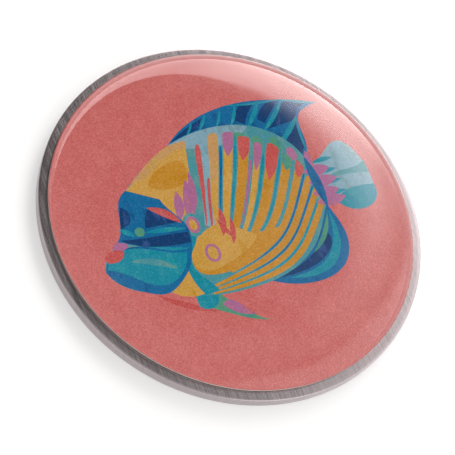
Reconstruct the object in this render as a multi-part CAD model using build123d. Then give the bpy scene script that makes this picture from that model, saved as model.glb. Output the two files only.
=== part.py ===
"""Golf ball marker: a stamped steel disc with a printed vinyl label under a clear poured dome.

The marker lies on its back. Its back face is the plane z = 0 with the origin at the face's
centre, +Z points out of the printed face, +Y is up in the printed picture and the fish faces -X.
All sizes are in millimetres.
"""

from build123d import *
from math import ceil, cos, log, radians, sin, sqrt, tan
import os

# Steel blank
disc_diameter = 25.0
disc_thickness = 0.80
face_edge_radius = 0.12  # the punch draws the face's edge round
back_edge_radius = 0.08

# Label: adhesive, white vinyl film and the inks on it
bare_rim_width = 0.60  # ring of steel that the label leaves bare
adhesive_thickness = 0.05
adhesive_setback = 0.15  # the adhesive stops short of the film's cut edge
film_thickness = 0.10
ink_thickness = 0.02

# Clear resin: a puddle that the film's edge holds back
dome_height = 1.60
contact_angle = 58.0  # slope of the resin where it meets the film's edge, in degrees
crown_angle = 1.5  # slope at which the edge roll hands over to the crown, in degrees
roll_steps = 12

# Picture, drawn on a grid where the fish is 100 units long from lip to tail
picture_margin = 2.24  # from the film's edge to the lip and to the tail
picture_drop = 0.18  # the picture's centre lies this far below the film's
chord_length = 1.5  # longest straight chord of a curved outline, in grid units

disc_radius = disc_diameter / 2
label_radius = disc_radius - bare_rim_width
adhesive_top = disc_thickness + adhesive_thickness
film_top = adhesive_top + film_thickness
ink_top = film_top + ink_thickness
grid_unit = 2 * (label_radius - picture_margin) / 100


def steel_disc():
    """The blank: a round slug with a drawn edge on its face and a broken edge on its back."""
    slug = Cylinder(disc_radius, disc_thickness, align=(Align.CENTER, Align.CENTER, Align.MIN))
    face_rim = slug.edges().filter_by(GeomType.CIRCLE).sort_by(Axis.Z)[-1]
    slug = fillet(face_rim, face_edge_radius)
    back_rim = slug.edges().filter_by(GeomType.CIRCLE).sort_by(Axis.Z)[0]
    return fillet(back_rim, back_edge_radius)


def layer(radius, thickness, bottom):
    """A round flat layer with its underside at the height bottom."""
    return Pos(0, 0, bottom) * extrude(Circle(radius), thickness)


def resin_dome():
    """The resin: a nearly flat crown that rolls over into a steep edge, as a puddle does.

    The surface of a wide puddle lies 2 a sin(p / 2) below its crown where its slope is p, and
    a (ln tan(p / 4) + 2 cos(p / 2)) along from a fixed point, with a the capillary length.
    The crown inside the roll is a shallow spherical cap, so a follows from the whole height.
    """
    foot, brim = radians(contact_angle), radians(crown_angle)

    def drop(slope):
        return 2 * sin(slope / 2)

    def along(slope):
        return log(tan(slope / 4)) + 2 * cos(slope / 2)

    cap_rise = tan(brim / 2)
    length = (dome_height - label_radius * cap_rise) / (
        drop(foot) - drop(brim) - (along(foot) - along(brim)) * cap_rise
    )
    roll = []
    for step in range(roll_steps + 1):
        slope = foot * (brim / foot) ** (step / roll_steps)
        inward = length * (along(foot) - along(slope))
        rise = length * (drop(foot) - drop(slope))
        roll.append((label_radius - inward, ink_top + rise))
    crown = (0, ink_top + dome_height)
    section = make_face(
        [
            Line((0, ink_top), roll[0]),
            Spline(*roll),
            TangentArc(crown, roll[-1], tangent=(1, 0)),
            Line(crown, (0, ink_top)),
        ]
    )
    return revolve(Plane.XZ * section, Axis.Z)


# ---- Picture: outlines on the grid, with the fish's middle at (0, 0) --------------------------


def stitched(curve):
    """Points along a curve, near enough together for the short chords between them to look round."""
    count = max(6, ceil(curve.length / chord_length))
    return [curve @ (step / count) for step in range(count)]


def outline(*runs):
    """A face inside runs that share their ends: two points are straight, more are a curve."""
    corners = []
    for run in runs:
        corners += [Vector(*run[0])] if len(run) == 2 else stitched(Spline(*run))
    return make_face(Polyline(*corners, close=True))


def blob(*points):
    """A face inside one smooth closed curve."""
    return make_face(Polyline(*stitched(Spline(*points, periodic=True)), close=True))


def streak(start, end, width, bow=0.0):
    """A brush stroke: widest in its middle, pointed at both ends, bowed to its left."""
    first, last = Vector(*start), Vector(*end)
    side = Vector(first.Y - last.Y, last.X - first.X).normalized()
    middle = (first + last) * 0.5 + side * bow
    return outline(
        [first, middle + side * (width / 2), last],
        [last, middle - side * (width / 2), first],
    )


def spot(x, y, radius_x, radius_y):
    """An oval spot."""
    turns = [radians(360 * step / 24) for step in range(24)]
    corners = [(x + radius_x * cos(turn), y + radius_y * sin(turn)) for turn in turns]
    return make_face(Polyline(*corners, close=True))


def trunk():
    """The fish's head and trunk without its fins."""
    return outline(
        [(-50, -9.9), (-48.4, -5.8), (-43.2, -1.4), (-39.4, 8.6), (-34.9, 14.9)],
        [(-34.9, 14.9), (-25.4, 22.2), (-15.2, 27.6), (-2.5, 30.4), (10.2, 30.6), (20, 26.5),
         (26.7, 20), (29.6, 13.5)],
        [(29.6, 13.5), (31, 4), (30, -4.1)],
        [(30, -4.1), (26, -10), (19.7, -17.5), (11.4, -22.8), (3.8, -25.4), (-8.9, -26.6),
         (-21.6, -25.6), (-32.4, -21.9), (-40.6, -19.4), (-46.5, -15.6), (-50, -9.9)],
    )


ROUND_PART = 0.10  # share of a stroke's length over which its start is rounded
POINTED_PART = 0.5  # share of its length over which it runs out to a point

# Tracks that every line of the flank crosses, each from the shoulder round to the belly
FLANK_TRACKS = (
    Spline((-6, 28.5), (5, 30), (16, 27.5), (26, 18.5), (30.3, 8), (31, -3.5)),
    Spline((-9.5, 14), (0.5, 15), (10, 9.5), (19, 4), (21.5, -5), (24, -12.5)),
    Spline((-13, 1), (-3.5, 3), (5, -3), (9, -8), (9.5, -15), (11.4, -22.8)),
    Spline((-16, -7), (-9, -7.5), (-3, -10), (-4, -16.5), (-5, -21), (-5, -26.4)),
    Spline((-22, -13.5), (-21, -15), (-20, -16.5), (-19.5, -18.5), (-20, -21.5), (-20, -26)),
)


def flank_line(place):
    """The line over the flank at a place between 0, the shoulder, and 1, the belly."""
    return Spline(*[track @ place for track in FLANK_TRACKS])


def flank_stroke(first, last, start, end, pointed=True):
    """A brush stroke between two flank lines, round where it starts, from start to end.

    A pointed stroke runs out to a point over its last part, and any other is cut off square.
    """
    near, far = flank_line(first), flank_line(last)
    steps = max(7, ceil((end - start) * near.length / chord_length))
    rounding = [ROUND_PART * share for share in (0, 0.06, 0.25, 0.56)]
    running = [ROUND_PART + (1 - ROUND_PART) * step / steps for step in range(steps + 1)]
    near_side, far_side = [], []
    for done in rounding + running:
        spread = min(1.0, sqrt(1 - (1 - min(done / ROUND_PART, 1)) ** 2))
        if pointed and done > 1 - POINTED_PART:
            spread = sin(radians(90 * (1 - done) / POINTED_PART))
        place = start + (end - start) * done
        middle = (near @ place + far @ place) * 0.5
        near_side.append(middle + (near @ place - middle) * spread)
        far_side.append(middle + (far @ place - middle) * spread)
    if pointed:
        far_side.pop()
    return make_face(Polyline(*near_side, *far_side[:0:-1], close=True))


def dorsal_fin():
    """The long fin on the back: dark cells between bright rays."""
    fin = outline(
        [(-15.5, 27.6), (-9, 32.4), (-1, 36), (10, 38.2), (21, 38.1), (31, 36.4), (43, 33)],
        [(43, 33), (37.5, 31.7), (34.3, 29.6), (33, 25), (32.6, 19), (30.4, 14)],
        [(30.4, 14), (27, 14)],
        [(27, 14), (22, 22), (13, 28), (2, 29.5), (-15.5, 27.6)],
    )
    front = outline(
        [(-14, 28.6), (-8, 32), (0, 35.2)],
        [(0, 35.2), (-3, 31.4)],
        [(-3, 31.4), (-9, 30), (-14, 28.6)],
    )
    cells = [
        outline([(11, 32), (12.8, 35.4), (15.4, 37.4)], [(15.4, 37.4), (20.4, 37.2)],
                [(20.4, 37.2), (16.4, 33.4), (14, 29.8)], [(14, 29.8), (11, 32)]),
        outline([(19, 31), (22, 34.6), (26, 37)], [(26, 37), (29, 36.4)],
                [(29, 36.4), (25, 32.6), (21, 29)], [(21, 29), (19, 31)]),
        outline([(21.4, 26.6), (26, 32.4), (32.6, 36)], [(32.6, 36), (38.6, 33.4)],
                [(38.6, 33.4), (35, 31.6), (32.4, 28)], [(32.4, 28), (21.4, 26.6)]),
        outline([(25.4, 20), (28.4, 23.6), (31.8, 26.4)], [(31.8, 26.4), (32, 20.4), (30, 15.6)],
                [(30, 15.6), (28.2, 14.6)], [(28.2, 14.6), (25.4, 20)]),
    ]
    rays = [
        streak((-8, 29.6), (-4, 34.6), 0.8, -0.3),
        streak((-3, 30.6), (1.6, 36.6), 1.0, -0.4),
        streak((3.4, 30.6), (7.6, 37.6), 0.9, -0.4),
        streak((8.6, 30.2), (13.4, 38), 1.3, -0.5),
        streak((14.2, 28.4), (22.2, 38), 1.7, -0.5),
        streak((18.6, 25.4), (31.2, 37), 1.6, -0.6),
        streak((22.6, 20.2), (33.6, 29.6), 1.9, -0.6),
        streak((9, 38.4), (31, 36.8), 0.8, -0.6),
        streak((30, 36.8), (43.4, 32.8), 1.1, -0.3),
        streak((33.4, 29.6), (31.6, 15), 0.9, -0.6),
    ]
    return (
        [("blue", fin), ("navy", front)]
        + [("navy", cell) for cell in cells]
        + [("turquoise", ray) for ray in rays]
    )


def anal_fin():
    """The fin behind the belly, with one bright crescent."""
    fin = outline(
        [(-0.6, -25.7), (7, -28.8), (16.5, -29.9), (23, -28.6), (28, -25.4), (31.1, -20.6),
         (32, -14.3), (30.8, -8), (29.6, -3)],
        [(29.6, -3), (12, -12), (-0.6, -25.7)],
    )
    web = outline(
        [(1, -25.6), (10, -23.6), (19, -19.4), (25, -13.4)],
        [(25, -13.4), (26, -17.4), (22.4, -21.6), (14, -25), (1, -25.6)],
    )
    crescent = outline(
        [(6, -26.4), (14, -27.8), (22.6, -26), (28, -20.4), (29.8, -13), (29.2, -6.4)],
        [(29.2, -6.4), (28, -13.4), (25.2, -19.4), (20, -24), (13.4, -26), (6, -26.4)],
    )
    edge = streak((18, -20.2), (28.6, -7.6), 1.7, -1.4)
    return [("blue", fin), ("navy", web), ("turquoise", crescent), ("green", edge)]


def pelvic_fin():
    """The small trailing fin under the throat."""
    fin = outline(
        [(-26.5, -25), (-24, -28.6), (-19, -31.9), (-12.5, -35.6), (-4, -38.2)],
        [(-4, -38.2), (-9.4, -35.6), (-13.2, -31.4), (-17.2, -27.4), (-18.6, -23)],
        [(-18.6, -23), (-26.5, -25)],
    )
    blush = outline(
        [(-18.8, -29.4), (-15.6, -28.6), (-12.6, -31.4), (-9.6, -35)],
        [(-9.6, -35), (-13.6, -34), (-18.8, -29.4)],
    )
    root = blob((-26, -25.4), (-21, -22), (-19, -26), (-21, -29.4))
    shade = streak((-38, -21), (-20, -31.4), 1.9, -1.0)
    return [("red", shade), ("green", fin), ("turquoise", root), ("orchid", blush)]


def tail_fin():
    """The tail's fan with its darker lower lobe."""
    fan = outline(
        [(30, 9), (33, 11.4), (37, 14), (40.6, 16.6), (44.4, 17.2), (48, 13), (50, 5),
         (49.4, -2.4), (46.6, -7.6), (42.6, -8.8), (37, -5.8), (30, -3)],
        [(30, -3), (30, 9)],
    )
    lobe = outline(
        [(34, -4.4), (38, -1.6), (43, -0.6), (49.9, -1)],
        [(49.9, -1), (46.6, -7.8), (42.6, -9), (34, -4.4)],
    )
    band = outline(
        [(34, 4), (40, 6.2), (45, 6.4), (50, 8.4)],
        [(50, 8.4), (50.2, 3.4)],
        [(50.2, 3.4), (43, 4.4), (34, 4)],
    )
    return [("pale_blue", fan), ("aqua", band), ("turquoise", lobe)]


def tail_root():
    """The blue end of the trunk and the fringe that runs out over the tail's fan."""
    root = outline(
        [(29.4, 14), (28.2, 8), (28.4, 0), (29.8, -6)],
        [(29.8, -6), (31.4, 0), (31.2, 8), (29.4, 14)],
    )
    shapes = [("orchid", streak((29.6, 9.6), (30.8, 16), 2.6, -0.2))]
    for rise in (10.2, 6.0, 1.8, -2.4):
        shapes.append(("turquoise", streak((31, rise + 0.8), (39.4, rise + 1.4), 1.7, 0.2)))
    for number, rise in enumerate((8.2, 4.0, -0.2, -3.4)):
        reach = 36.8 + 1.2 * (number % 2)
        shapes.append(("orchid", streak((26.6, rise), (reach, rise + 0.2), 4.2, -0.2)))
    return shapes + [("blue", root)]


# Stripes of the flank, from the shoulder to the belly: the places of their two sides, where they
# start and end along the flank, their ink, and the ink and the end of their tip
STRIPES = (
    (0.000, 0.042, 0.06, 0.74, "red", None, 0),
    (0.066, 0.094, 0.34, 0.83, "red", None, 0),
    (0.098, 0.160, 0.03, 0.84, "gold", "cream", 0.40),
    (0.196, 0.256, 0.04, 0.86, "gold", "orchid", 0.20),
    (0.292, 0.360, 0.07, 0.86, "ochre", "red", 0.22),
    (0.394, 0.438, 0.09, 0.86, "gold", "orchid", 0.26),
    (0.474, 0.548, 0.06, 0.86, "ochre", "red", 0.28),
    (0.582, 0.642, 0.07, 0.86, "ochre", "green", 0.15),
    (0.672, 0.732, 0.05, 0.86, "ochre", "red", 0.13),
    (0.762, 0.824, 0.04, 1.00, "ochre", None, 0),
    (0.850, 0.900, 0.03, 1.00, "ochre", None, 0),
    (0.924, 0.972, 0.03, 1.00, "ochre", None, 0),
)
CHEEK_PLACE = 0.85  # stripes that end before it run out to a point, the others go under the cheek

# Thin shadow lines between the stripes: two places, start, end and ink
SHADOWS = (
    (0.168, 0.186, 0.12, 0.66, "blue"),
    (0.262, 0.282, 0.06, 0.66, "turquoise"),
    (0.364, 0.382, 0.20, 0.66, "orchid"),
    (0.446, 0.464, 0.14, 0.66, "turquoise"),
    (0.556, 0.574, 0.10, 0.70, "turquoise"),
    (0.738, 0.757, 0.06, 0.84, "blue"),
    (0.828, 0.846, 0.06, 0.84, "blue"),
    (0.904, 0.921, 0.08, 0.84, "turquoise"),
)


def flank():
    """Stripes over aqua, with coloured tips where they start under the fin."""
    saddle = outline(
        [(-15.5, 27.7), (-6, 30.4), (4, 31.2), (14.4, 29)],
        [(14.4, 29), (8, 25.4), (-2, 24), (-15.5, 27.7)],
    )
    shapes = [
        ("aqua", trunk()),
        ("pale_blue", saddle),
        ("pale_blue", flank_stroke(0.0, 0.12, 0.0, 0.7, pointed=False)),
        ("green", spot(9.8, 25.2, 2.4, 2.4)),
        ("green", spot(15.4, 22.4, 1.8, 2.6)),
        ("green", spot(21.4, 20.4, 1.8, 3)),
        ("orchid", spot(25.6, 15.8, 1.7, 2.6)),
    ]
    for first, last, start, end, ink in SHADOWS:
        shapes.append((ink, flank_stroke(first, last, start, end)))
    for first, last, start, end, ink, tip, tip_end in STRIPES:
        shapes.append((ink, flank_stroke(first, last, start, end, pointed=end < CHEEK_PLACE)))
        if tip:
            shapes.append((tip, flank_stroke(first - 0.003, last + 0.003, start - 0.015, tip_end)))
    return shapes


def head():
    """Gold forehead and cheek, a blue mask with an eye in it, and the blunt jaw."""
    forehead = outline(
        [(-34.9, 14.9), (-25.4, 22), (-15.2, 27.4), (-9, 28)],
        [(-9, 28), (-12.4, 15), (-15.6, 2)],
        [(-15.6, 2), (-24, 0)],
        [(-24, 0), (-34.9, 14.9)],
    )
    crest = outline(
        [(-32.4, 17), (-24.6, 22.8), (-15.2, 27.6), (-8.8, 28.2)],
        [(-8.8, 28.2), (-10, 25.4)],
        [(-10, 25.4), (-17, 24.2), (-24, 19.8), (-32.4, 17)],
    )
    glow = blob((-27, 15.4), (-21, 20.4), (-13, 21), (-13.6, 14.4), (-19.6, 12.4))
    flames = [
        streak((-21.6, 0.6), (-19, 11.4), 3.2, -0.5),
        streak((-18.6, 0.6), (-14.4, 14.6), 3.6, -0.6),
        streak((-16.4, 1.4), (-12.2, 17.4), 2.6, -0.6),
    ]
    cheek = outline(
        [(-22.6, -12.4), (-20.4, -7.6), (-15.6, -4.6), (-9, -3), (-3, -6.4), (2, -9.4)],
        [(2, -9.4), (-4, -14), (-12, -16.8), (-19, -17.8), (-22.2, -15.8), (-22.6, -12.4)],
    )
    fold = outline(
        [(-22.8, -13), (-21.6, -17.8), (-14, -19.6), (-5, -18.6), (4, -14.6), (10, -8.6)],
        [(10, -8.6), (0, -9)],
        [(0, -9), (-12, -14), (-22.8, -13)],
    )
    embers = [
        streak((-7.2, 2.4), (-9.6, -7.6), 2.4, 0.5),
        streak((-4.8, -1.6), (-7.4, -11), 1.8, 0.4),
        streak((-9.6, -1), (-5.6, -9.6), 1.5, -0.4),
    ]
    gill = outline(
        [(-19.4, -2), (-18.4, -6), (-22.6, -11.8), (-23, -16.2), (-20.4, -20.6), (-18, -24.6)],
        [(-18, -24.6), (-23, -25.2)],
        [(-23, -25.2), (-25.2, -20.4), (-25, -14), (-21.4, -8), (-19.4, -2)],
    )
    throat = outline(
        [(-33, -21.4), (-28.6, -18.4), (-25.2, -14.6)],
        [(-25.2, -14.6), (-24.8, -20), (-23, -24.6)],
        [(-23, -24.6), (-28, -24.4), (-33, -21.4)],
    )
    return (
        [("gold", forehead), ("cream", crest), ("ochre", glow)]
        + [("orchid", flame) for flame in flames]
        + [("ochre", fold), ("gold", cheek)]
        + [("red", ember) for ember in embers]
        + [("turquoise", gill), ("gold", throat)]
        + spots()
        + mask()
        + jaw()
    )


def spots():
    """Two ringed spots, one behind the mask and one on the cheek."""
    return [
        ("aqua", spot(-17.8, -1.4, 3.4, 4.2)),
        ("orchid", spot(-17.8, -1.4, 2.2, 3)),
        ("gold", spot(-17.8, -1.4, 1.2, 1.9)),
        ("orchid", spot(-15.2, -12.2, 2.6, 3.2)),
        ("gold", spot(-15.2, -12.2, 1.7, 2.3)),
    ]


def mask():
    """The dark mask over the eye, crossed by bright bands."""
    shell = outline(
        [(-34.9, 15.1), (-38.6, 11.4), (-40.4, 5), (-43.4, -1.4)],
        [(-43.4, -1.4), (-36, -5), (-28, -8.4), (-21.8, -10.2)],
        [(-21.8, -10.2), (-20.2, -6), (-20, -1), (-21.6, 2.4), (-25.2, 9.6)],
        [(-25.2, 9.6), (-34.9, 15.1)],
    )
    brow = outline(
        [(-38.6, 10), (-36.6, 7), (-38, 3.4)],
        [(-38, 3.4), (-41, 2.6)],
        [(-41, 2.6), (-40, 6), (-38.6, 10)],
    )
    socket = outline(
        [(-33.4, 1), (-32, 5), (-29.6, 7.6), (-26, 5), (-21.4, 0.6)],
        [(-21.4, 0.6), (-33.4, 1)],
    )
    band = outline(
        [(-42.4, -1), (-36, -2), (-28, -2.6), (-20.2, -3.4)],
        [(-20.2, -3.4), (-20.8, -7)],
        [(-20.8, -7), (-28, -6.6), (-37, -4.4), (-42.4, -1)],
    )
    glint = streak((-41.8, 2.4), (-37.4, -1), 1.9, 0.3)
    upper = streak((-34.4, -0.4), (-20.2, -2), 1.7, 0.2)
    lower = streak((-40, -3.9), (-21.4, -8.8), 1.5, -0.7)
    lash = streak((-30.6, 7.8), (-21.2, 0), 2.7, 0.8)
    return [
        ("blue", shell),
        ("navy", brow),
        ("navy", socket),
        ("navy", band),
        ("turquoise", glint),
        ("turquoise", upper),
        ("turquoise", lower),
        ("green", spot(-35.6, 0.2, 1.6, 1.6)),
        ("red", lash),
    ]


def jaw():
    """The blunt jaw: bright, rimmed with blue, with red and orchid on the upper lip."""
    rim = outline(
        [(-50, -9.9), (-46.5, -15.4), (-40.6, -19.4), (-34.4, -21.6), (-28.6, -19), (-23.6, -14),
         (-21.8, -9.8)],
        [(-21.8, -9.8), (-30, -7.4), (-40, -4), (-46, -5), (-50, -9.9)],
    )
    flesh = outline(
        [(-49.2, -9.4), (-44, -12.6), (-38.6, -17), (-33.4, -18.8), (-28, -16.8), (-24.4, -12.6),
         (-23.4, -9.8)],
        [(-23.4, -9.8), (-31, -7.8), (-40, -4.6), (-46, -5.4), (-49.2, -9.4)],
    )
    lip = blob((-49, -6.4), (-46.4, -3.8), (-42.6, -5), (-44.4, -7.4), (-47.4, -7.6))
    bridge = blob((-45.6, -3.2), (-43, -1.6), (-40.4, -3.4), (-42.6, -4.4))
    sheen = streak((-42, -8.6), (-28, -14.6), 2.2, 1.0)
    return [
        ("blue", rim),
        ("turquoise", flesh),
        ("aqua", sheen),
        ("orchid", bridge),
        ("red", lip),
    ]


def picture():
    """Every painted shape, from the first laid down to the last."""
    return (
        tail_fin() + dorsal_fin() + anal_fin() + pelvic_fin() + flank() + tail_root() + head()
    )


def overlapping(box, others):
    """The shapes among others, kept as pairs of shape and box, whose boxes meet a box."""
    return [
        shape
        for shape, other in others
        if other.min.X < box.max.X
        and box.min.X < other.max.X
        and other.min.Y < box.max.Y
        and box.min.Y < other.max.Y
    ]


def printed_inks():
    """The ink areas side by side in one layer: a shape shows where no later one covers it."""
    ground = Circle(label_radius / grid_unit)
    lowered = Pos(0, -picture_drop / grid_unit)
    painted = [("coral", ground)] + [(ink, lowered * shape) for ink, shape in picture()]
    shown, later = {}, []
    for ink, shape in reversed(painted):
        box = shape.bounding_box()
        covers = overlapping(box, later)
        seen = shape - covers if covers else shape
        if seen:
            shown.setdefault(ink, []).append(seen)
        later.append((shape, box))
    return {ink: scale(Sketch() + areas, by=grid_unit) for ink, areas in shown.items()}


def main():
    """Build every piece and write one STEP file for each."""
    pieces = {
        "steel_disc": steel_disc(),
        "label_adhesive": layer(
            label_radius - adhesive_setback, adhesive_thickness, disc_thickness
        ),
        "label_film": layer(label_radius, film_thickness, adhesive_top),
        "resin_dome": resin_dome(),
    }
    for ink, area in printed_inks().items():
        pieces[f"ink_{ink}"] = Pos(0, 0, film_top) * extrude(area, ink_thickness)
    os.makedirs("parts", exist_ok=True)
    for name, piece in pieces.items():
        export_step(piece, f"parts/{name}.step")


if __name__ == "__main__":
    main()
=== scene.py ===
"""Looks of a golf ball marker: brushed steel disc, printed label and clear poured dome."""

import logging
import math
from contextlib import contextmanager
from dataclasses import dataclass
from enum import Enum
from typing import Iterator, Sequence

import bmesh
import bpy
from mathutils import Matrix, Vector


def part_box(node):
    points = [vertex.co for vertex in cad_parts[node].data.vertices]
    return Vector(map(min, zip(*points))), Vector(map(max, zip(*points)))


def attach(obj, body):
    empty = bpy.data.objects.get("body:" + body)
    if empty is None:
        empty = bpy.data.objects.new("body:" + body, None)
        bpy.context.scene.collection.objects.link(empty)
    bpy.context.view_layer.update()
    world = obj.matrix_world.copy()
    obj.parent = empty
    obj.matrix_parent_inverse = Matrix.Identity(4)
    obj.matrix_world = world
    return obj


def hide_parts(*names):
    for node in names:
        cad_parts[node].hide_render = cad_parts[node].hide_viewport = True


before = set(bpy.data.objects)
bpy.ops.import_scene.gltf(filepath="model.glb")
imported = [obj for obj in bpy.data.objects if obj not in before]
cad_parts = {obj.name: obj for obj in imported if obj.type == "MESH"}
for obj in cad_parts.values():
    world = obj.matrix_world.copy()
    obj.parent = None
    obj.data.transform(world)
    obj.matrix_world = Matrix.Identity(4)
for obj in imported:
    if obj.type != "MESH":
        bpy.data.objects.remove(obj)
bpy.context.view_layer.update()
LOG = logging.getLogger("ball_marker")

MM = 0.001
NOISE_MEAN = 0.5
MIX_FIRST, MIX_SECOND, MIX_RESULT = 6, 7, 2  # a Mix node's colour sockets
Colour = tuple[float, float, float]


def linear(red: int, green: int, blue: int) -> Colour:
    """Give the scene-linear colour of an sRGB colour.

    Args:
        red: Red from 0 to 255.
        green: Green from 0 to 255.
        blue: Blue from 0 to 255.

    Returns:
        The three linear values from 0 to 1.
    """
    def curve(value: float) -> float:
        """Undo the sRGB curve for one channel."""
        return value / 12.92 if value <= 0.04045 else ((value + 0.055) / 1.055) ** 2.4

    return curve(red / 255), curve(green / 255), curve(blue / 255)


# ---- Node trees ------------------------------------------------------------------------------


class Tree:
    """A thin wrapper that adds and links shader nodes in one node tree."""

    def __init__(self, tree: bpy.types.NodeTree) -> None:
        """Keep the tree that nodes are added to.

        Args:
            tree: A material's, a world's or a group's node tree.
        """
        self.tree = tree

    def add(self, kind: str, **settings: object) -> bpy.types.Node:
        """Add one node.

        Args:
            kind: The node's class name without its ShaderNode prefix.
            **settings: Properties of the node, set as they are.

        Returns:
            The new node.
        """
        node = self.tree.nodes.new(f"ShaderNode{kind}")
        for name, value in settings.items():
            setattr(node, name, value)
        return node

    def link(self, source: bpy.types.NodeSocket, target: bpy.types.NodeSocket) -> None:
        """Link an output to an input."""
        self.tree.links.new(source, target)

    def maths(self, operation: str, *values: object, clamp: bool = False) -> bpy.types.NodeSocket:
        """Add a Math node.

        Args:
            operation: The node's operation, such as MULTIPLY.
            *values: Numbers or output sockets for its inputs, in order.
            clamp: Whether the result is kept between 0 and 1.

        Returns:
            The node's output.
        """
        node = self.add("Math", operation=operation, use_clamp=clamp)
        for slot, value in zip(node.inputs, values):
            self.put(value, slot)
        return node.outputs[0]

    def put(self, value: object, target: bpy.types.NodeSocket) -> None:
        """Give an input a plain value or a link.

        Args:
            value: A value for the input, or the output socket to link to it.
            target: The input.
        """
        if isinstance(value, bpy.types.NodeSocket):
            self.link(value, target)
        else:
            target.default_value = value

    def ramp(self, value: bpy.types.NodeSocket, low: float, high: float,
             to_low: float = 0.0, to_high: float = 1.0) -> bpy.types.NodeSocket:
        """Map a range smoothly onto another.

        Args:
            value: The socket to map.
            low: Input that gives to_low.
            high: Input that gives to_high.
            to_low: Result at and below low.
            to_high: Result at and above high.

        Returns:
            The mapped value's socket.
        """
        node = self.add("MapRange", interpolation_type="SMOOTHSTEP")
        self.link(value, node.inputs["Value"])
        for name, number in (("From Min", low), ("From Max", high),
                             ("To Min", to_low), ("To Max", to_high)):
            node.inputs[name].default_value = number
        return node.outputs["Result"]

    def noise(self, place: bpy.types.NodeSocket, scale: Sequence[float], detail: float,
              roughness: float = 0.5) -> bpy.types.NodeSocket:
        """Add noise whose features may be longer one way than another.

        Args:
            place: The coordinates' socket, in metres.
            scale: Features per metre along x, y and z.
            detail: Octaves of finer noise.
            roughness: Share that each octave keeps.

        Returns:
            The noise's value, about 0.5 on average.
        """
        stretch = self.add("Mapping", vector_type="POINT")
        self.link(place, stretch.inputs["Vector"])
        stretch.inputs["Scale"].default_value = scale
        noise = self.add("TexNoise", noise_dimensions="3D")
        self.link(stretch.outputs["Vector"], noise.inputs["Vector"])
        noise.inputs["Scale"].default_value = 1.0
        noise.inputs["Detail"].default_value = detail
        noise.inputs["Roughness"].default_value = roughness
        return noise.outputs["Fac"]


def node_group(name: str, inputs: dict[str, tuple[str, object]],
               outputs: dict[str, str]) -> tuple[bpy.types.NodeTree, Tree, dict, dict]:
    """Start a shader node group with named sockets.

    Args:
        name: The group's name.
        inputs: Each input's name with its socket type and default value.
        outputs: Each output's name with its socket type.

    Returns:
        The group, its wrapper, the sockets that carry its inputs, and those of its outputs.
    """
    group = bpy.data.node_groups.new(name, "ShaderNodeTree")
    for label, (kind, default) in inputs.items():
        socket = group.interface.new_socket(label, in_out="INPUT", socket_type=kind)
        socket.default_value = default
    for label, kind in outputs.items():
        group.interface.new_socket(label, in_out="OUTPUT", socket_type=kind)
    entry = group.nodes.new("NodeGroupInput")
    leave = group.nodes.new("NodeGroupOutput")
    given = {socket.name: socket for socket in entry.outputs if socket.name}
    wanted = {socket.name: socket for socket in leave.inputs if socket.name}
    return group, Tree(group), given, wanted


class Effects:
    """The node groups that several finishes share, each built once."""

    _built: dict[str, bpy.types.NodeTree] = {}

    @classmethod
    def get(cls, name: str) -> bpy.types.NodeTree:
        """Give a group by name, and build it the first time.

        Args:
            name: The group's name.

        Returns:
            The group's node tree.
        """
        if name not in cls._built:
            cls._built[name] = getattr(cls, f"_{name}")()
        return cls._built[name]

    @staticmethod
    def _print_grain() -> bpy.types.NodeTree:
        """Build the look of painted art in print: patches of a second shade, and grain.

        Returns:
            The group's node tree.
        """
        group, tree, given, wanted = node_group(
            "print_grain",
            {
                "Colour": ("NodeSocketColor", (0.8, 0.8, 0.8, 1.0)),
                "Shade": ("NodeSocketColor", (0.8, 0.8, 0.8, 1.0)),
                "Cover": ("NodeSocketFloat", 0.3),
                "Speck": ("NodeSocketFloat", 0.1),
                "Wash": ("NodeSocketFloat", 0.1),
            },
            {"Colour": "NodeSocketColor"},
        )
        bare_limit, cover_drop, patch_edge = 0.66, 0.32, 0.10
        paling = 0.6  # how much a lighter speck is also paler
        place = tree.add("TexCoord").outputs["Object"]
        brush = tree.noise(place, scale=(1500, 620, 1000), detail=4.0, roughness=0.62)
        limit = tree.maths("SUBTRACT", bare_limit,
                           tree.maths("MULTIPLY", given["Cover"], cover_drop))
        patch = tree.maths("DIVIDE", tree.maths("SUBTRACT", brush, limit), patch_edge, clamp=True)
        coats = tree.add("Mix", data_type="RGBA")
        tree.link(patch, coats.inputs["Factor"])
        tree.link(given["Colour"], coats.inputs[MIX_FIRST])
        tree.link(given["Shade"], coats.inputs[MIX_SECOND])
        specks = tree.noise(place, scale=(11000, 11000, 11000), detail=1.5, roughness=0.6)
        wash = tree.noise(place, scale=(700, 700, 700), detail=3.0, roughness=0.55)
        light = tree.maths(
            "ADD",
            tree.maths("MULTIPLY", tree.maths("SUBTRACT", specks, NOISE_MEAN), given["Speck"]),
            tree.maths("MULTIPLY", tree.maths("SUBTRACT", wash, NOISE_MEAN), given["Wash"]),
        )
        tint = tree.add("HueSaturation")
        tree.link(coats.outputs[MIX_RESULT], tint.inputs["Color"])
        tree.link(tree.maths("ADD", light, 1.0), tint.inputs["Value"])
        tree.link(tree.maths("SUBTRACT", 1.0, tree.maths("MULTIPLY", light, paling)),
                  tint.inputs["Saturation"])
        tree.link(tint.outputs["Color"], wanted["Colour"])
        return group

    @staticmethod
    def _brush_lines() -> bpy.types.NodeTree:
        """Build the long fine scratches that a belt leaves along Y, as values about 0.5.

        Returns:
            The group's node tree.
        """
        group, tree, _, wanted = node_group(
            "brush_lines", {}, {"Lines": "NodeSocketFloat", "Bands": "NodeSocketFloat"}
        )
        place = tree.add("TexCoord").outputs["Object"]
        lines = tree.noise(place, scale=(16000, 160, 900), detail=2.0, roughness=0.6)
        bands = tree.noise(place, scale=(1900, 60, 300), detail=2.0)
        tree.link(lines, wanted["Lines"])
        tree.link(bands, wanted["Bands"])
        return group


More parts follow.
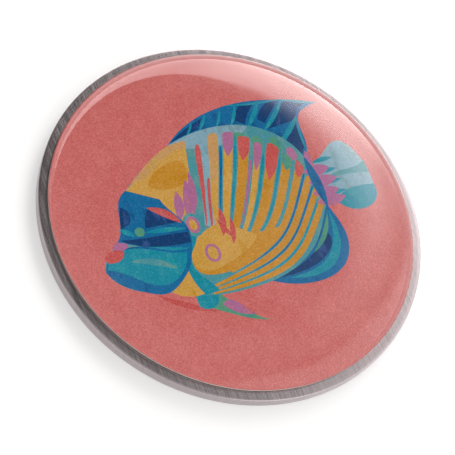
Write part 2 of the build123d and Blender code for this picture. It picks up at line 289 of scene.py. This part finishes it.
@dataclass(frozen=True)
class Finish:
    """What every finish has: a name, and a material made on demand."""

    name: str

    def material(self) -> bpy.types.Material:
        """Give this finish's material, and build it the first time.

        Returns:
            The material.
        """
        made = bpy.data.materials.get(self.name)
        if made is None:
            made = bpy.data.materials.new(self.name)
            made.use_nodes = True
            tree = Tree(made.node_tree)
            shader = made.node_tree.nodes["Principled BSDF"]
            self.build(tree, shader)
        return made

    def build(self, tree: Tree, shader: bpy.types.Node) -> None:
        """Set the shader and add this finish's own nodes.

        Args:
            tree: The material's node tree.
            shader: Its Principled BSDF.
        """
        raise NotImplementedError

    def dress(self, piece: bpy.types.Object) -> None:
        """Put this finish, alone, on a piece."""
        piece.data.materials.clear()
        piece.data.materials.append(self.material())


def add_grain(tree: Tree, shader: bpy.types.Node, colour: Colour, shade: Colour,
              cover: float, speck: float, wash: float) -> None:
    """Give a shader a grainy colour from the shared print grain.

    Args:
        tree: The material's node tree.
        shader: Its Principled BSDF.
        colour: The main colour.
        shade: The colour of the patches.
        cover: How much the patches cover, from 0 to 1.
        speck: Strength of the fine grain.
        wash: Strength of the broad unevenness.
    """
    grain = tree.add("Group")
    grain.node_tree = Effects.get("print_grain")
    for label, value in (("Colour", (*colour, 1.0)), ("Shade", (*shade, 1.0)),
                         ("Cover", cover), ("Speck", speck), ("Wash", wash)):
        grain.inputs[label].default_value = value
    tree.link(grain.outputs["Colour"], shader.inputs["Base Color"])


@dataclass(frozen=True)
class BrushedSteel(Finish):
    """Ferritic stainless steel with belt lines along Y."""

    colour: Colour = (0.49, 0.43, 0.44)
    roughness: float = 0.22
    smoother: float = 0.03
    rougher: float = 0.05
    anisotropy: float = 0.6
    line_contrast: float = 0.40
    band_contrast: float = 0.10
    darkest: float = 0.72
    bump: float = 0.06
    relief: float = 0.004 * MM

    def build(self, tree: Tree, shader: bpy.types.Node) -> None:
        """Streak colour, roughness and height along the belt lines.

        Args:
            tree: The material's node tree.
            shader: Its Principled BSDF.
        """
        lines = tree.add("Group")
        lines.node_tree = Effects.get("brush_lines")
        bands = lines.outputs["Bands"]
        fine = lines.outputs["Lines"]
        shade = tree.maths("ADD", tree.maths("MULTIPLY", fine, self.line_contrast),
                           tree.maths("MULTIPLY", bands, self.band_contrast))
        tint = tree.add("HueSaturation")
        tint.inputs["Color"].default_value = (*self.colour, 1.0)
        tree.link(tree.maths("ADD", shade, self.darkest), tint.inputs["Value"])
        tree.link(tint.outputs["Color"], shader.inputs["Base Color"])
        rough = tree.ramp(fine, low=0.3, high=0.7, to_low=self.roughness - self.smoother,
                          to_high=self.roughness + self.rougher)
        tree.link(rough, shader.inputs["Roughness"])
        bump = tree.add("Bump")
        bump.inputs["Strength"].default_value = self.bump
        bump.inputs["Distance"].default_value = self.relief
        tree.link(fine, bump.inputs["Height"])
        tree.link(bump.outputs["Normal"], shader.inputs["Normal"])
        shader.inputs["Metallic"].default_value = 1.0
        shader.inputs["Anisotropic"].default_value = self.anisotropy
        tangent = tree.add("Tangent", direction_type="UV_MAP")
        tangent.uv_map = "brush"
        tree.link(tangent.outputs["Tangent"], shader.inputs["Tangent"])


@dataclass(frozen=True)
class PrintedInk(Finish):
    """One printed colour with patches of a second shade, grainy as a label press leaves it."""

    colour: Colour
    shade: Colour
    cover: float = 0.35
    speck: float = 0.52
    wash: float = 0.16
    roughness: float = 0.75
    gloss: float = 0.1

    def build(self, tree: Tree, shader: bpy.types.Node) -> None:
        """Mottle the colour and dull the surface.

        Args:
            tree: The material's node tree.
            shader: Its Principled BSDF.
        """
        add_grain(tree, shader, self.colour, self.shade, self.cover, self.speck, self.wash)
        shader.inputs["Roughness"].default_value = self.roughness
        shader.inputs["Specular IOR Level"].default_value = self.gloss


@dataclass(frozen=True)
class LayerEdge(Finish):
    """A plain layer of the label, seen at its cut edge, with a little dust in it."""

    colour: Colour
    speck: float
    wash: float
    roughness: float
    dust: Colour = (0.8, 0.8, 0.8)

    def build(self, tree: Tree, shader: bpy.types.Node) -> None:
        """Grain the colour and set how dull it is.

        Args:
            tree: The material's node tree.
            shader: Its Principled BSDF.
        """
        add_grain(tree, shader, self.colour, self.dust, 0.0, self.speck, self.wash)
        shader.inputs["Roughness"].default_value = self.roughness


@dataclass(frozen=True)
class ClearResin(Finish):
    """Glossy clear polyurethane that lamps reach through."""

    colour: Colour = (0.985, 0.98, 0.97)
    index: float = 1.5

    def build(self, tree: Tree, shader: bpy.types.Node) -> None:
        """Glass for the eye, and open to rays from lamps and from dull surfaces.

        Args:
            tree: The material's node tree.
            shader: Its Principled BSDF.
        """
        shader.inputs["Base Color"].default_value = (*self.colour, 1.0)
        shader.inputs["Roughness"].default_value = 0.0
        shader.inputs["IOR"].default_value = self.index
        shader.inputs["Transmission Weight"].default_value = 1.0
        path = tree.add("LightPath")
        opened = tree.maths("MAXIMUM", path.outputs["Is Shadow Ray"],
                            path.outputs["Is Diffuse Ray"])
        clear = tree.add("BsdfTransparent")
        mix = tree.add("MixShader")
        tree.link(opened, mix.inputs["Fac"])
        tree.link(shader.outputs["BSDF"], mix.inputs[1])
        tree.link(clear.outputs["BSDF"], mix.inputs[2])
        output = tree.tree.nodes["Material Output"]
        tree.link(mix.outputs["Shader"], output.inputs["Surface"])


# ---- Modelling -------------------------------------------------------------------------------


def deselect() -> None:
    """Leave object mode with nothing selected."""
    if bpy.context.object and bpy.context.object.mode != "OBJECT":
        bpy.ops.object.mode_set(mode="OBJECT")
    bpy.ops.object.select_all(action="DESELECT")


@contextmanager
def editing(piece: bpy.types.Object) -> Iterator[None]:
    """Put one piece in edit mode for the length of a with block.

    Args:
        piece: The piece to edit.
    """
    deselect()
    piece.select_set(True)
    bpy.context.view_layer.objects.active = piece
    bpy.ops.object.mode_set(mode="EDIT")
    yield
    bpy.ops.object.mode_set(mode="OBJECT")


def select_edges(piece: bpy.types.Object, height: float, radius: float) -> None:
    """Select, in edit mode, the edges of a ring about the Z axis.

    Args:
        piece: The piece in edit mode.
        height: The ring's z.
        radius: The ring's radius.
    """
    bpy.ops.mesh.select_mode(type="EDGE")
    bpy.ops.mesh.select_all(action="DESELECT")
    mesh = bmesh.from_edit_mesh(piece.data)
    near = 0.004 * MM
    for edge in mesh.edges:
        edge.select = all(
            abs(vert.co.z - height) < near and abs(vert.co.xy.length - radius) < near
            for vert in edge.verts
        )
    mesh.select_flush(True)
    bmesh.update_edit_mesh(piece.data)


def select_face_up(piece: bpy.types.Object) -> None:
    """Select, in edit mode, only the highest face that looks straight up.

    Args:
        piece: The piece in edit mode.
    """
    bpy.ops.mesh.select_mode(type="FACE")
    bpy.ops.mesh.select_all(action="DESELECT")
    mesh = bmesh.from_edit_mesh(piece.data)
    nearly_up = 0.999
    flat = [face for face in mesh.faces if face.normal.z > nearly_up]
    top = max(flat, key=lambda face: face.calc_center_median().z)
    top.select = True
    mesh.faces.active = top
    bmesh.update_edit_mesh(piece.data)


def settle(piece: bpy.types.Object, crease: float) -> None:
    """Put a piece's place in its mesh and shade it smooth up to an angle.

    Args:
        piece: The finished piece.
        crease: The angle in degrees past which an edge stays sharp.
    """
    deselect()
    piece.select_set(True)
    bpy.context.view_layer.objects.active = piece
    bpy.ops.object.transform_apply(location=True, rotation=True, scale=True)
    bpy.ops.object.shade_smooth_by_angle(angle=math.radians(crease))
    deselect()


def round_stock(name: str, radius: float, bottom: float, height: float,
                sides: int) -> bpy.types.Object:
    """Add a plain round blank on the Z axis to be worked on.

    Args:
        name: The piece's name.
        radius: Its radius.
        bottom: The z of its underside.
        height: Its height.
        sides: Segments round it.

    Returns:
        The blank.
    """
    deselect()
    bpy.ops.mesh.primitive_cylinder_add(
        vertices=sides, radius=radius, depth=height, location=(0, 0, bottom + height / 2)
    )
    piece = bpy.context.object
    piece.name = name
    piece.data.name = name
    bpy.ops.object.transform_apply(location=True, rotation=True, scale=True)
    return piece


@dataclass
class SteelBlank:
    """The stamped disc: drawn face edge, broken back edge, brushed face."""

    node: str = "steel_disc"
    face_edge: float = 0.12 * MM
    back_edge: float = 0.08 * MM
    face_rings: tuple[float, float] = (0.15 * MM, 0.60 * MM)
    sides: int = 288
    crease: float = 60.0
    finish: Finish = BrushedSteel("belt_brushed_steel")

    def build(self) -> bpy.types.Object:
        """Model the disc from a round blank.

        Returns:
            The finished disc.
        """
        low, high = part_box(self.node)
        radius = (high.x - low.x) / 2
        piece = round_stock("brushed_disc", radius, low.z, high.z - low.z, self.sides)
        with editing(piece):
            select_edges(piece, high.z, radius)
            bpy.ops.mesh.bevel(offset=self.face_edge, segments=10, profile=0.5,
                               affect="EDGES")
            select_edges(piece, low.z, radius)
            bpy.ops.mesh.bevel(offset=self.back_edge, segments=5, profile=0.5,
                               affect="EDGES")
            select_face_up(piece)
            for width in self.face_rings:
                bpy.ops.mesh.inset(thickness=width)
        settle(piece, self.crease)
        self._lay_brush_map(piece)
        return piece

    def _lay_brush_map(self, piece: bpy.types.Object) -> None:
        """Give the disc a flat map whose first axis is across the belt lines.

        Args:
            piece: The disc.
        """
        layer = piece.data.uv_layers.new(name="brush")
        size = max(piece.dimensions)
        for loop in piece.data.loops:
            place = piece.data.vertices[loop.vertex_index].co
            layer.data[loop.index].uv = (
                (place.x + place.z) / size + 0.5,
                place.y / size + 0.5,
            )

    def make(self) -> bpy.types.Object:
        """Build, dress and seat the disc in the frame.

        Returns:
            The disc.
        """
        piece = self.build()
        self.finish.dress(piece)
        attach(piece, "root")
        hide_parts(self.node)
        return piece


class Ink(Enum):
    """The label's printed colours: node, colour, second shade and how much that covers."""

    CORAL = ("ink_coral", linear(204, 108, 105), linear(208, 110, 106), 0.4)
    AQUA = ("ink_aqua", linear(72, 146, 156), linear(98, 152, 150), 0.45)
    TURQUOISE = ("ink_turquoise", linear(14, 138, 160), linear(40, 150, 160), 0.40)
    BLUE = ("ink_blue", linear(4, 104, 156), linear(2, 86, 140), 0.40)
    NAVY = ("ink_navy", linear(4, 58, 110), linear(44, 80, 136), 0.35)
    PALE_BLUE = ("ink_pale_blue", linear(130, 168, 184), linear(116, 152, 164), 0.45)
    GOLD = ("ink_gold", linear(204, 156, 74), linear(196, 144, 48), 0.25)
    OCHRE = ("ink_ochre", linear(196, 138, 44), linear(190, 128, 34), 0.25)
    CREAM = ("ink_cream", linear(198, 152, 98), linear(198, 158, 80), 0.35)
    RED = ("ink_red", linear(196, 85, 82), linear(190, 100, 100), 0.30)
    ORCHID = ("ink_orchid", linear(172, 106, 148), linear(184, 112, 132), 0.40)
    GREEN = ("ink_green", linear(84, 150, 122), linear(66, 142, 138), 0.40)

    @property
    def node(self) -> str:
        """The CAD node that holds this ink's areas."""
        return self.value[0]

    @property
    def finish(self) -> PrintedInk:
        """The finish that this ink's areas get."""
        _, colour, shade, cover = self.value
        return PrintedInk(f"printed_{self.name.lower()}", colour, shade, cover)


@dataclass
class Label:
    """The printed label: adhesive, white film and ink areas, all kept as the frame's nodes."""

    film: Finish = LayerEdge(
        "white_label_film", colour=(0.86, 0.83, 0.80), speck=0.12, wash=0.2, roughness=0.5
    )
    # the adhesive is coloured nearly black as painted shade: it stands in for the shadow in the
    # gap under the film's edge
    adhesive: Finish = LayerEdge(
        "shade_dark_adhesive", colour=(0.05, 0.035, 0.035), speck=0.5, wash=0.5, roughness=0.7
    )

    def make(self) -> list[bpy.types.Object]:
        """Dress the frame's own label nodes.

        Returns:
            The dressed nodes.
        """
        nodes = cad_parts
        self.film.dress(nodes["label_film"])
        self.adhesive.dress(nodes["label_adhesive"])
        for ink in Ink:
            ink.finish.dress(nodes[ink.node])
        return [nodes["label_film"], nodes["label_adhesive"]] + [nodes[ink.node] for ink in Ink]


@dataclass
class ResinDome:
    """The poured resin: steep at its edge, rolling over to a nearly flat crown."""

    node: str = "resin_dome"
    contact_angle: float = 58.0
    crown_angle: float = 1.5
    wetting: float = 0.012 * MM
    sides: int = 288
    rings: int = 34
    crown_rings: tuple[float, ...] = (0.85, 0.7, 0.55, 0.4, 0.25, 0.1)
    crease: float = 40.0
    finish: Finish = ClearResin("poured_resin")

    def profile(self, radius: float, height: float) -> list[tuple[float, float]]:
        """Work out the dome's outline as a wide puddle's.

        Args:
            radius: The radius of its foot.
            height: Its height above its foot.

        Returns:
            Pairs of radius and height from the foot to near the axis.
        """
        foot, brim = math.radians(self.contact_angle), math.radians(self.crown_angle)

        def drop(slope: float) -> float:
            """Give the depth below the crown where the slope is this, in capillary lengths."""
            return 2 * math.sin(slope / 2)

        def along(slope: float) -> float:
            """Give the distance across the roll, in capillary lengths."""
            return math.log(math.tan(slope / 4)) + 2 * math.cos(slope / 2)

        cap = math.tan(brim / 2)
        length = (height - radius * cap) / (
            drop(foot) - drop(brim) - (along(foot) - along(brim)) * cap
        )
        points = []
        for ring in range(self.rings + 1):
            slope = foot * (brim / foot) ** (ring / self.rings)
            points.append((radius - length * (along(foot) - along(slope)),
                           length * (drop(foot) - drop(slope))))
        brim_radius, brim_height = points[-1]
        sphere = brim_radius / math.sin(brim)
        for share in self.crown_rings:
            reach = brim_radius * share
            rise = math.sqrt(sphere**2 - reach**2) - sphere * math.cos(brim)
            points.append((reach, brim_height + rise))
        return points

    def build(self) -> bpy.types.Object:
        """Raise the dome ring by ring from a low round blank.

        Returns:
            The finished dome.
        """
        low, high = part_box(self.node)
        radius = (high.x - low.x) / 2
        piece = round_stock("clear_dome", radius, low.z - self.wetting, self.wetting, self.sides)
        outline = self.profile(radius, high.z - low.z)
        with editing(piece):
            select_face_up(piece)
            for (wide, from_height), (narrow, to_height) in zip(outline, outline[1:]):
                bpy.ops.mesh.extrude_region_move(
                    TRANSFORM_OT_translate={"value": (0, 0, to_height - from_height)}
                )
                bpy.ops.transform.resize(
                    value=(narrow / wide, narrow / wide, 1), center_override=(0, 0, 0)
                )
            bpy.ops.mesh.poke()
            bpy.ops.mesh.select_all(action="SELECT")
            bpy.ops.mesh.normals_make_consistent(inside=False)
        settle(piece, self.crease)
        return piece

    def make(self) -> bpy.types.Object:
        """Build, dress and seat the dome in the frame.

        Returns:
            The dome.
        """
        piece = self.build()
        self.finish.dress(piece)
        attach(piece, "root")
        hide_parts(self.node)
        return piece


# ---- Studio ----------------------------------------------------------------------------------


@dataclass
class Tent:
    """The soft light round the marker, as a strength for each direction.

    A direction has a rise, a depth (away from the camera) and a side (to the camera's right),
    each from -1 to 1.
    """

    tree: Tree
    rise: bpy.types.NodeSocket
    depth: bpy.types.NodeSocket
    side: bpy.types.NodeSocket

    @classmethod
    def facing(cls, tree: Tree, away: Vector, right: Vector) -> "Tent":
        """Start a tent about a viewing direction.

        Args:
            tree: The world's node tree.
            away: The level direction away from the camera.
            right: The level direction to the camera's right.

        Returns:
            The tent, with no light in it yet.
        """
        direction = tree.add("TexCoord").outputs["Generated"]

        def toward(axis: Vector) -> bpy.types.NodeSocket:
            """Give how far a direction leans along an axis, from -1 to 1."""
            node = tree.add("VectorMath", operation="DOT_PRODUCT")
            tree.link(direction, node.inputs[0])
            node.inputs[1].default_value = axis.normalized()
            return node.outputs["Value"]

        return cls(tree, toward(Vector((0, 0, 1))), toward(away), toward(right))

    def product(self, *factors: bpy.types.NodeSocket) -> bpy.types.NodeSocket:
        """Multiply sockets together.

        Args:
            *factors: The sockets, at least one.

        Returns:
            Their product.
        """
        result, *others = factors
        for factor in others:
            result = self.tree.maths("MULTIPLY", result, factor)
        return result

    def under_edge(self, slope: float, height: float, fade: object) -> bpy.types.NodeSocket:
        """Give 1 under an edge that slopes across the tent and 0 over it.

        Args:
            slope: How fast the edge rises towards the right.
            height: The edge's rise at the middle.
            fade: The fade's width below the edge, as a number or a socket.

        Returns:
            The share of light under the edge.
        """
        edge = self.tree.maths("ADD", self.tree.maths("MULTIPLY", self.side, slope), height)
        below = self.tree.maths("SUBTRACT", edge, self.rise)
        return self.tree.maths("DIVIDE", below, fade, clamp=True)

    def fill(self) -> bpy.types.NodeSocket:
        """Give the plain light from the camera's side."""
        return self.tree.ramp(self.depth, low=0.45, high=-0.35, to_low=0.05, to_high=0.60)

    def overhead(self) -> bpy.types.NodeSocket:
        """Give the faint light from straight above."""
        return self.tree.ramp(self.rise, low=0.86, high=0.95, to_high=0.10)

    def sweep(self) -> bpy.types.NodeSocket:
        """Give the wide soft lamp low behind the marker.

        Returns:
            Its strength.
        """
        return self.product(
            self.under_edge(slope=0.30, height=0.76, fade=0.24),
            self.tree.ramp(self.depth, low=0.05, high=0.4, to_high=3.2),
            self.tree.ramp(self.side, low=-0.40, high=-0.05),
            self.tree.ramp(self.side, low=0.62, high=0.0),
        )

    def strip(self) -> bpy.types.NodeSocket:
        """Give the lamp behind on the left, whose hard edge draws the line in the resin.

        Returns:
            Its strength.
        """
        fade = self.tree.ramp(self.side, low=-0.2, high=0.2, to_low=0.02, to_high=0.2)
        return self.product(
            self.under_edge(slope=0.62, height=0.73, fade=fade),
            self.tree.ramp(self.depth, low=0.0, high=0.3, to_high=3.0),
            self.tree.ramp(self.side, low=0.35, high=0.05),
        )

    def glow(self) -> bpy.types.NodeSocket:
        """Give the weak light behind on the right.

        Returns:
            Its strength.
        """
        return self.product(
            self.tree.ramp(self.side, low=0.08, high=0.22, to_high=0.5),
            self.tree.ramp(self.depth, low=-0.1, high=0.3),
        )

    def pane(self) -> bpy.types.NodeSocket:
        """Give the pale pane that the crown's right half mirrors.

        Returns:
            Its strength.
        """
        return self.product(
            self.tree.ramp(self.side, low=-0.01, high=0.03, to_high=0.4),
            self.tree.ramp(self.rise, low=0.870, high=0.862),
            self.tree.ramp(self.depth, low=0.2, high=0.4),
        )

    def panel(self) -> bpy.types.NodeSocket:
        """Give the low panel at the far right.

        Returns:
            Its strength.
        """
        return self.product(
            self.tree.ramp(self.side, low=0.55, high=0.75),
            self.tree.ramp(self.rise, low=0.74, high=0.6),
        )

    def total(self) -> bpy.types.NodeSocket:
        """Add up the tent's lamps.

        Returns:
            The strength of the light from each direction.
        """
        total = self.fill()
        for lamp in (self.overhead, self.sweep, self.strip, self.glow, self.pane, self.panel):
            total = self.tree.maths("ADD", total, lamp())
        return total


@dataclass
class Studio:
    """Pale floor, soft light and the camera."""

    azimuth: float = -50.0
    elevation: float = 56.19
    roll: float = 31.85
    distance: float = 88.11 * MM
    aim: tuple[float, float] = (0.012 * MM, 0.594 * MM)
    lens: float = 110.77
    sensor: float = 36.0
    floor_size: float = 3.0
    floor_colour: Colour = (0.80, 0.80, 0.80)
    floor_lift: float = 0.36
    tent_colour: Colour = (1.0, 0.985, 0.975)

    def axes(self) -> tuple[Vector, Vector, Vector]:
        """Work out the directions of the camera before it is rolled.

        Returns:
            Its level right, its up and its back.
        """
        turn, rise = math.radians(self.azimuth), math.radians(self.elevation)
        back = Vector((math.sin(turn) * math.cos(rise), -math.cos(turn) * math.cos(rise),
                       math.sin(rise)))
        right = Vector((math.cos(turn), math.sin(turn), 0))
        return right, back.cross(right), back

    def make_camera(self) -> bpy.types.Object:
        """Place the camera, rolled as a hand would tilt the marker.

        Returns:
            The camera.
        """
        right, up, back = self.axes()
        turn = math.radians(self.roll)
        across = right * math.cos(turn) + up * math.sin(turn)
        upward = up * math.cos(turn) - right * math.sin(turn)
        data = bpy.data.cameras.new("camera")
        data.lens = self.lens
        data.sensor_width = self.sensor
        data.clip_start = 5 * MM
        camera = bpy.data.objects.new("camera", data)
        bpy.context.scene.collection.objects.link(camera)
        place = back * self.distance - right * self.aim[0] - up * self.aim[1]
        turned = Matrix((across, upward, back)).transposed().to_4x4()
        camera.matrix_world = Matrix.Translation(place) @ turned
        bpy.context.scene.camera = camera
        return camera

    def make_floor(self) -> bpy.types.Object:
        """Lay the white floor that the marker lies on.

        Returns:
            The floor.
        """
        deselect()
        bpy.ops.mesh.primitive_plane_add(size=self.floor_size, location=(0, 0, 0))
        floor = bpy.context.object
        floor.name = "floor"
        material = bpy.data.materials.new("white_floor")
        material.use_nodes = True
        shader = material.node_tree.nodes["Principled BSDF"]
        shader.inputs["Base Color"].default_value = (*self.floor_colour, 1.0)
        shader.inputs["Roughness"].default_value = 0.9
        shader.inputs["Specular IOR Level"].default_value = 0.0
        tree = Tree(material.node_tree)
        path = tree.add("LightPath")
        seen = tree.maths("MAXIMUM", path.outputs["Is Camera Ray"], tree.maths(
            "MAXIMUM", path.outputs["Is Glossy Ray"], path.outputs["Is Transmission Ray"]))
        shader.inputs["Emission Color"].default_value = (1, 1, 1, 1)
        tree.link(tree.maths("MULTIPLY", seen, self.floor_lift),
                  shader.inputs["Emission Strength"])
        floor.data.materials.append(material)
        return floor

    def make_world(self) -> None:
        """Light the marker from the tent, and show white behind it."""
        world = bpy.data.worlds.new("tent")
        bpy.context.scene.world = world
        world.use_nodes = True
        world.node_tree.nodes.clear()
        tree = Tree(world.node_tree)
        right, _, back = self.axes()
        away = Vector((-back.x, -back.y, 0)).normalized()
        tent = Tent.facing(tree, away, right)
        path = tree.add("LightPath")
        seen = tree.add("Background")
        seen.inputs["Strength"].default_value = 1.0
        seen.inputs["Color"].default_value = (1, 1, 1, 1)
        light = tree.add("Background")
        light.inputs["Color"].default_value = (*self.tent_colour, 1)
        tree.link(tent.total(), light.inputs["Strength"])
        mix = tree.add("MixShader")
        tree.link(path.outputs["Is Camera Ray"], mix.inputs["Fac"])
        tree.link(light.outputs["Background"], mix.inputs[1])
        tree.link(seen.outputs["Background"], mix.inputs[2])
        output = tree.add("OutputWorld")
        tree.link(mix.outputs["Shader"], output.inputs["Surface"])

    def make(self) -> None:
        """Set up floor, light, camera and plain colour handling."""
        self.make_floor()
        self.make_world()
        self.make_camera()
        bpy.context.scene.view_settings.view_transform = "Standard"


def main() -> None:
    """Build the marker from its disc up, then the studio, and log each piece's face count."""
    logging.basicConfig(level=logging.INFO, format="%(name)s: %(message)s")
    disc = SteelBlank().make()
    LOG.info("%s: %d faces", disc.name, len(disc.data.polygons))
    for piece in Label().make():
        LOG.info("%s: %d faces", piece.name, len(piece.data.polygons))
    dome = ResinDome().make()
    LOG.info("%s: %d faces", dome.name, len(dome.data.polygons))
    Studio().make()


if __name__ == "__main__":
    main()
